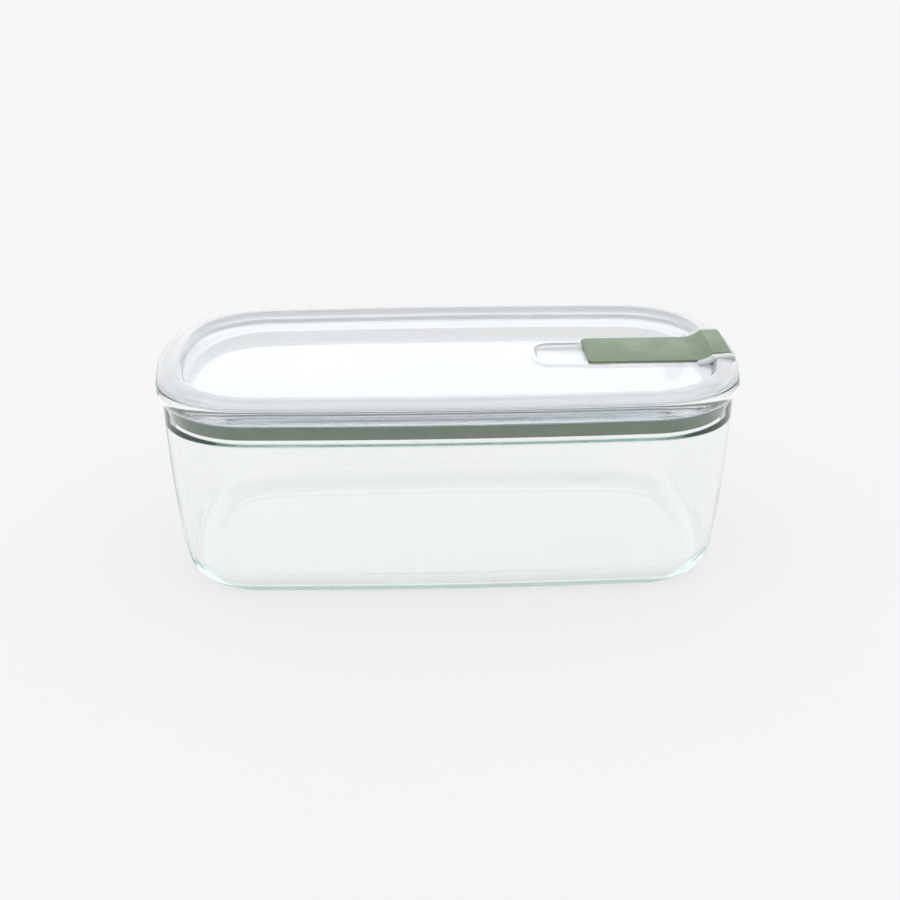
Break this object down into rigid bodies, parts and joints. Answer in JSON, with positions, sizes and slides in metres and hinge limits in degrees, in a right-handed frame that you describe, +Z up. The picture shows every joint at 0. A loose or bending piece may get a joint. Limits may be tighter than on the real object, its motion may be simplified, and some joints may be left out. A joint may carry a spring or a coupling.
{
  "type": "glass storage container",
  "caption": "Rounded rectangular glass food container with a clear press-in lid, a green seal ring and a hinged vent clip.",
  "frame": {"origin": "centre of the flat base, on the surface that the container stands on", "axes": "+X along the container towards the clip's hinge, +Y across it, +Z up towards the lid"},
  "size_m": [0.2224, 0.115, 0.0833],
  "materials": {
    "dish_glass": "clear pressed glass with a faint green edge tint",
    "lid_plastic": "clear, slightly milky moulded plastic",
    "seal_silicone": "matte sage green silicone",
    "clip_plastic": "satin sage green plastic",
    "stopper_silicone": "matte sage green silicone"
  },
  "bodies": {
    "dish": {"glass_dish": "dish_glass"},
    "lid": {"lid_shell": "lid_plastic", "seal_ring": "seal_silicone"},
    "clip": {"clip_lever": "clip_plastic", "vent_stopper": "stopper_silicone"}
  },
  "joints": [
    {"name": "lid_lift", "type": "slide", "parent": "dish", "child": "lid", "axis": [0, 0, 1], "range_m": [0, 0.06]},
    {"name": "clip_hinge", "type": "hinge", "parent": "lid", "child": "clip", "pos_m": [0.1069, 0, 0.0818], "axis": [0, 1, 0], "range_deg": [0, 95]}
  ]
}
